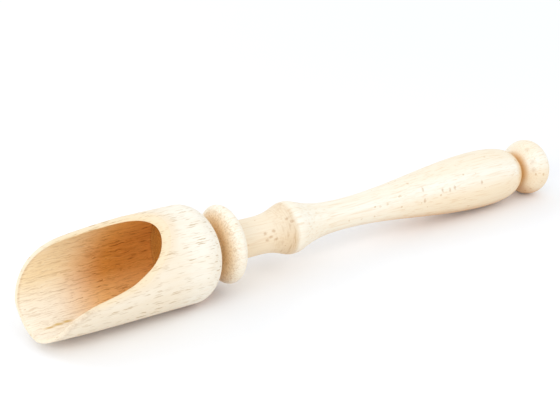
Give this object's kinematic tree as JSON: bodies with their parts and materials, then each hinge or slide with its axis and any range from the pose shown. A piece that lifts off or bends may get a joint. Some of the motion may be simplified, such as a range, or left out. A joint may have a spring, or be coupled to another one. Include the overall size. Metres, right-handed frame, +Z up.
{
  "type": "tea scoop",
  "caption": "Turned wooden tea scoop: a bored round bowl with a slanting open mouth, and a slim beaded handle with a knob end, tenoned into the bowl's back.",
  "frame": {"origin": "on the surface the scoop lies on, under the middle of its box", "axes": "+X along the handle from the lip to the knob, +Z up; the mouth faces up and is rolled a little towards -Y, as the scoop lies"},
  "size_m": [0.1966, 0.03, 0.0303],
  "materials": {
    "bowl_wood": "sanded raw beech with short ray flecks along the grain",
    "handle_wood": "sanded raw beech with small dots and faint lengthwise grain"
  },
  "bodies": {
    "root": {"bowl": "bowl_wood", "handle": "handle_wood"}
  },
  "joints": []
}
